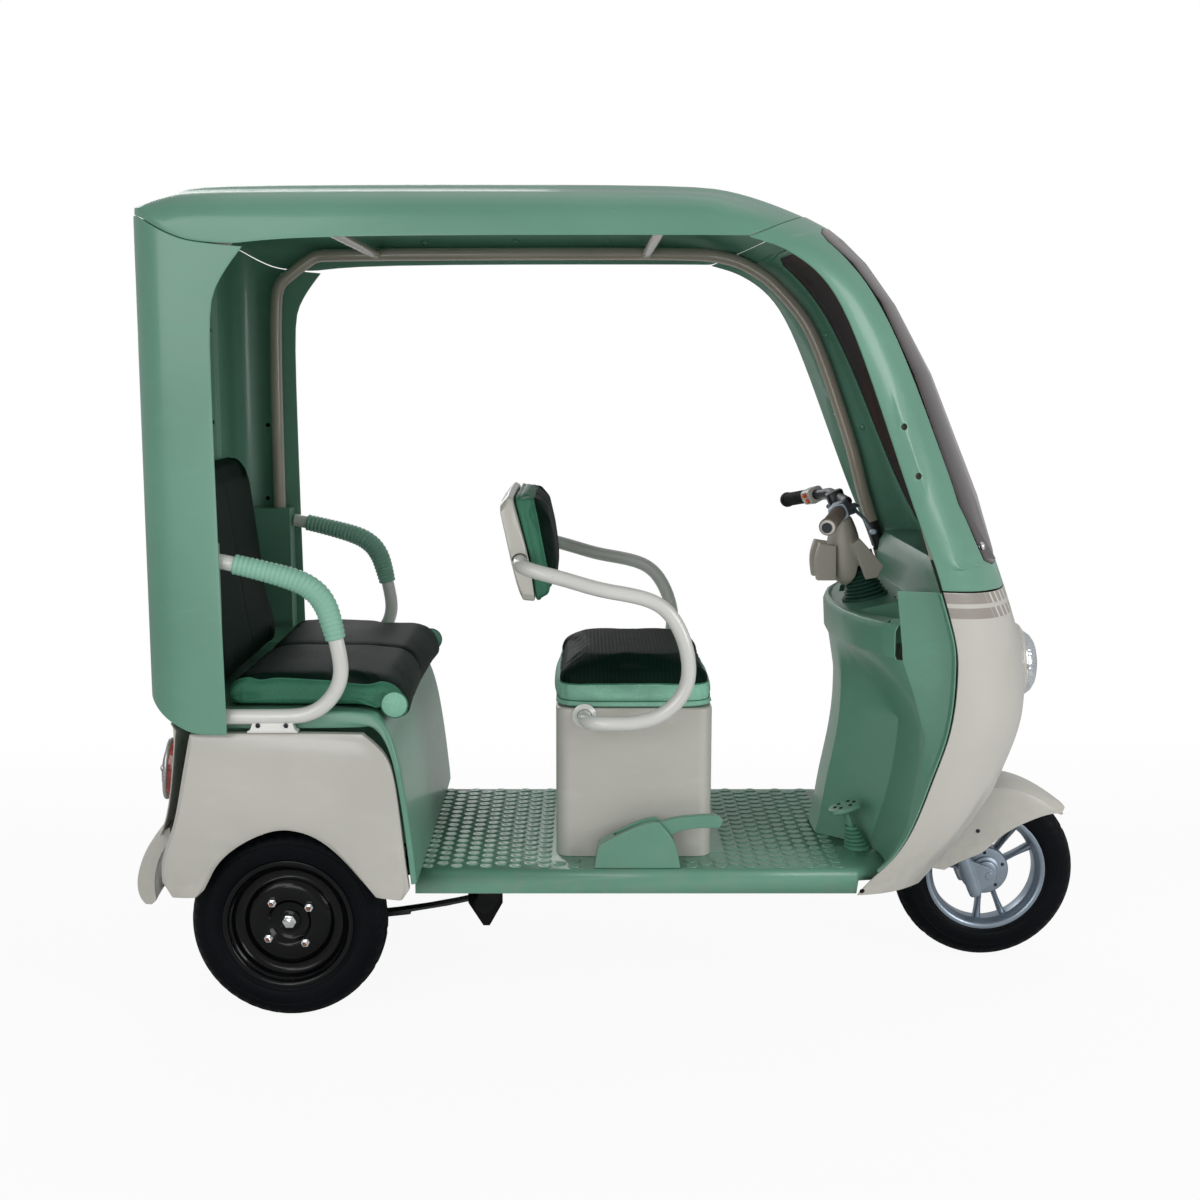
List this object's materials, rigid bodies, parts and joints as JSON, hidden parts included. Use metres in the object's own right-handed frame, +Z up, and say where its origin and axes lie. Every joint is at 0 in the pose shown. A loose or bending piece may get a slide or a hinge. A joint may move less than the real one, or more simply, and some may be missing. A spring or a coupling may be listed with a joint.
{
  "type": "electric tricycle",
  "caption": "Roofed passenger tricycle with an electric drive: steered front wheel, sprung rear axle, driver's seat over the battery and a rear bench.",
  "frame": {"origin": "middle of the footprint at ground level", "axes": "+X forwards along the vehicle, +Y to its left, +Z up"},
  "size_m": [2.123, 0.96, 1.768],
  "materials": {
    "green_plastic": "gloss moulded",
    "dark_green_leather": "satin grained",
    "cream_plastic": "gloss moulded",
    "white_tube": "gloss paint",
    "taupe_paint": "satin paint",
    "grip_rubber": "matte",
    "black_rubber": "matte",
    "boot_rubber": "matte",
    "battery_case": "matte",
    "black_steel": "satin paint",
    "alloy": "silver paint",
    "chrome": "polished",
    "orange_plastic": "gloss",
    "tinted_screen": "smoked",
    "red_lens": "gloss"
  },
  "bodies": {
    "body": {"windshield_surround": "green_plastic", "windshield": "tinted_screen", "front_apron": "cream_plastic", "headlamp": "chrome", "roof_panel": "green_plastic", "side_panel_right": "green_plastic", "side_panel_left": "green_plastic", "rear_wall": "green_plastic", "leg_shield": "green_plastic", "dashboard": "green_plastic", "floor_pan": "green_plastic", "rear_seat_base": "green_plastic", "rear_fender_right": "cream_plastic", "rear_fender_left": "cream_plastic", "rear_bumper": "cream_plastic", "tail_lamp_right": "red_lens", "tail_lamp_left": "red_lens", "chassis_frame": "black_steel", "battery_pack": "battery_case", "leaf_spring_right": "black_steel", "leaf_spring_left": "black_steel", "roof_frame": "taupe_paint", "driver_seat_box": "cream_plastic", "driver_backrest_shell": "cream_plastic", "driver_backrest_pad": "dark_green_leather", "driver_arm_frame": "white_tube", "rear_backrest_pad": "dark_green_leather", "armrest_right": "white_tube", "armrest_left": "white_tube", "arm_sleeve_right": "green_plastic", "arm_sleeve_left": "green_plastic", "handbrake_base": "green_plastic", "steering_boot": "green_plastic", "pedal_boot": "boot_rubber"},
    "steering": {"steering_fork": "black_steel", "handlebar": "black_steel", "bar_cowl": "cream_plastic", "grip_left": "grip_rubber", "switch_pod_right": "black_steel", "switch_pod_left": "black_steel"},
    "front_slider": {"fork_lowers": "black_steel", "front_fender": "cream_plastic"},
    "front_wheel": {"front_rim": "alloy", "front_tyre": "black_rubber"},
    "rear_axle": {"rear_axle": "black_steel"},
    "rear_wheel_right": {"rear_rim_right": "black_steel", "rear_tyre_right": "black_rubber"},
    "rear_wheel_left": {"rear_rim_left": "black_steel", "rear_tyre_left": "black_rubber"},
    "throttle": {"throttle_grip": "grip_rubber"},
    "lever_right": {"brake_lever_right": "alloy"},
    "lever_left": {"brake_lever_left": "alloy"},
    "horn": {"horn_button": "orange_plastic"},
    "turn_switch": {"turn_switch": "orange_plastic"},
    "lamp_switch": {"lamp_switch": "orange_plastic"},
    "lock": {"ignition_lock": "chrome"},
    "pedal": {"brake_pedal": "boot_rubber"},
    "handbrake": {"handbrake_lever": "green_plastic"},
    "driver_seat": {"driver_cushion": "dark_green_leather"},
    "rear_seat": {"rear_cushion": "dark_green_leather"}
  },
  "joints": [
    {"name": "steering", "type": "hinge", "parent": "body", "child": "steering", "pos_m": [0.8065, 0, 0.21], "axis": [-0.3502, 0, 0.9367], "range_deg": [-38, 38]},
    {"name": "front_suspension", "type": "slide", "parent": "steering", "child": "front_slider", "axis": [-0.3502, 0, 0.9367], "range_m": [0, 0.026], "stiffness_N_per_m": 25000, "springref_m": -0.07},
    {"name": "front_wheel_spin", "type": "hinge", "parent": "front_slider", "child": "front_wheel", "pos_m": [0.8515, 0, 0.21], "axis": [0, 1, 0], "continuous": true},
    {"name": "rear_suspension", "type": "slide", "parent": "body", "child": "rear_axle", "axis": [0, 0, 1], "range_m": [0, 0.035], "stiffness_N_per_m": 60000, "springref_m": -0.05, "deforming": ["leaf_spring_right", "leaf_spring_left"]},
    {"name": "rear_wheel_right_spin", "type": "hinge", "parent": "rear_axle", "child": "rear_wheel_right", "pos_m": [-0.7291, -0.3617, 0.21], "axis": [0, 1, 0], "continuous": true},
    {"name": "rear_wheel_left_spin", "type": "hinge", "parent": "rear_axle", "child": "rear_wheel_left", "pos_m": [-0.7291, 0.3617, 0.21], "axis": [0, 1, 0], "continuous": true},
    {"name": "throttle", "type": "hinge", "parent": "steering", "child": "throttle", "pos_m": [0.46085, -0.21243, 1.07926], "axis": [-0.3293, -0.9314, -0.1552], "range_deg": [0, 65], "stiffness_Nm_per_rad": 0.3},
    {"name": "brake_lever_right", "type": "hinge", "parent": "steering", "child": "lever_right", "pos_m": [0.49665, -0.18059, 1.08287], "axis": [-0.2679, 0.2498, -0.9305], "range_deg": [0, 15], "stiffness_Nm_per_rad": 1.5},
    {"name": "brake_lever_left", "type": "hinge", "parent": "steering", "child": "lever_left", "pos_m": [0.49665, 0.18059, 1.08287], "axis": [0.2679, 0.2498, 0.9305], "range_deg": [0, 15], "stiffness_Nm_per_rad": 1.5},
    {"name": "horn_button", "type": "slide", "parent": "steering", "child": "horn", "axis": [0.8425, 0.3641, 0.3971], "range_m": [0, 0.0025], "stiffness_N_per_m": 300},
    {"name": "turn_switch", "type": "slide", "parent": "steering", "child": "turn_switch", "axis": [-0.3293, 0.9314, -0.1552], "range_m": [-0.004, 0.004]},
    {"name": "lamp_switch", "type": "slide", "parent": "steering", "child": "lamp_switch", "axis": [-0.3293, -0.9314, -0.1552], "range_m": [0, 0.009]},
    {"name": "ignition_lock", "type": "hinge", "parent": "body", "child": "lock", "pos_m": [0.622, -0.095, 0.87404], "axis": [-0.2149, 0, 0.9766], "range_deg": [0, 90]},
    {"name": "brake_pedal", "type": "slide", "parent": "body", "child": "pedal", "axis": [0.3, 0, -0.9539], "range_m": [0, 0.03], "stiffness_N_per_m": 1500, "springref_m": -0.01, "deforming": ["pedal_boot"]},
    {"name": "handbrake", "type": "hinge", "parent": "body", "child": "handbrake", "pos_m": [0.02, -0.307, 0.352], "axis": [0, -1, 0], "range_deg": [0, 35]},
    {"name": "driver_seat", "type": "hinge", "parent": "body", "child": "driver_seat", "pos_m": [0.1885, 0, 0.652], "axis": [0, 1, 0], "range_deg": [0, 70]},
    {"name": "rear_seat", "type": "hinge", "parent": "body", "child": "rear_seat", "pos_m": [-0.47, 0, 0.65], "axis": [0, 1, 0], "range_deg": [0, 75]}
  ]
}
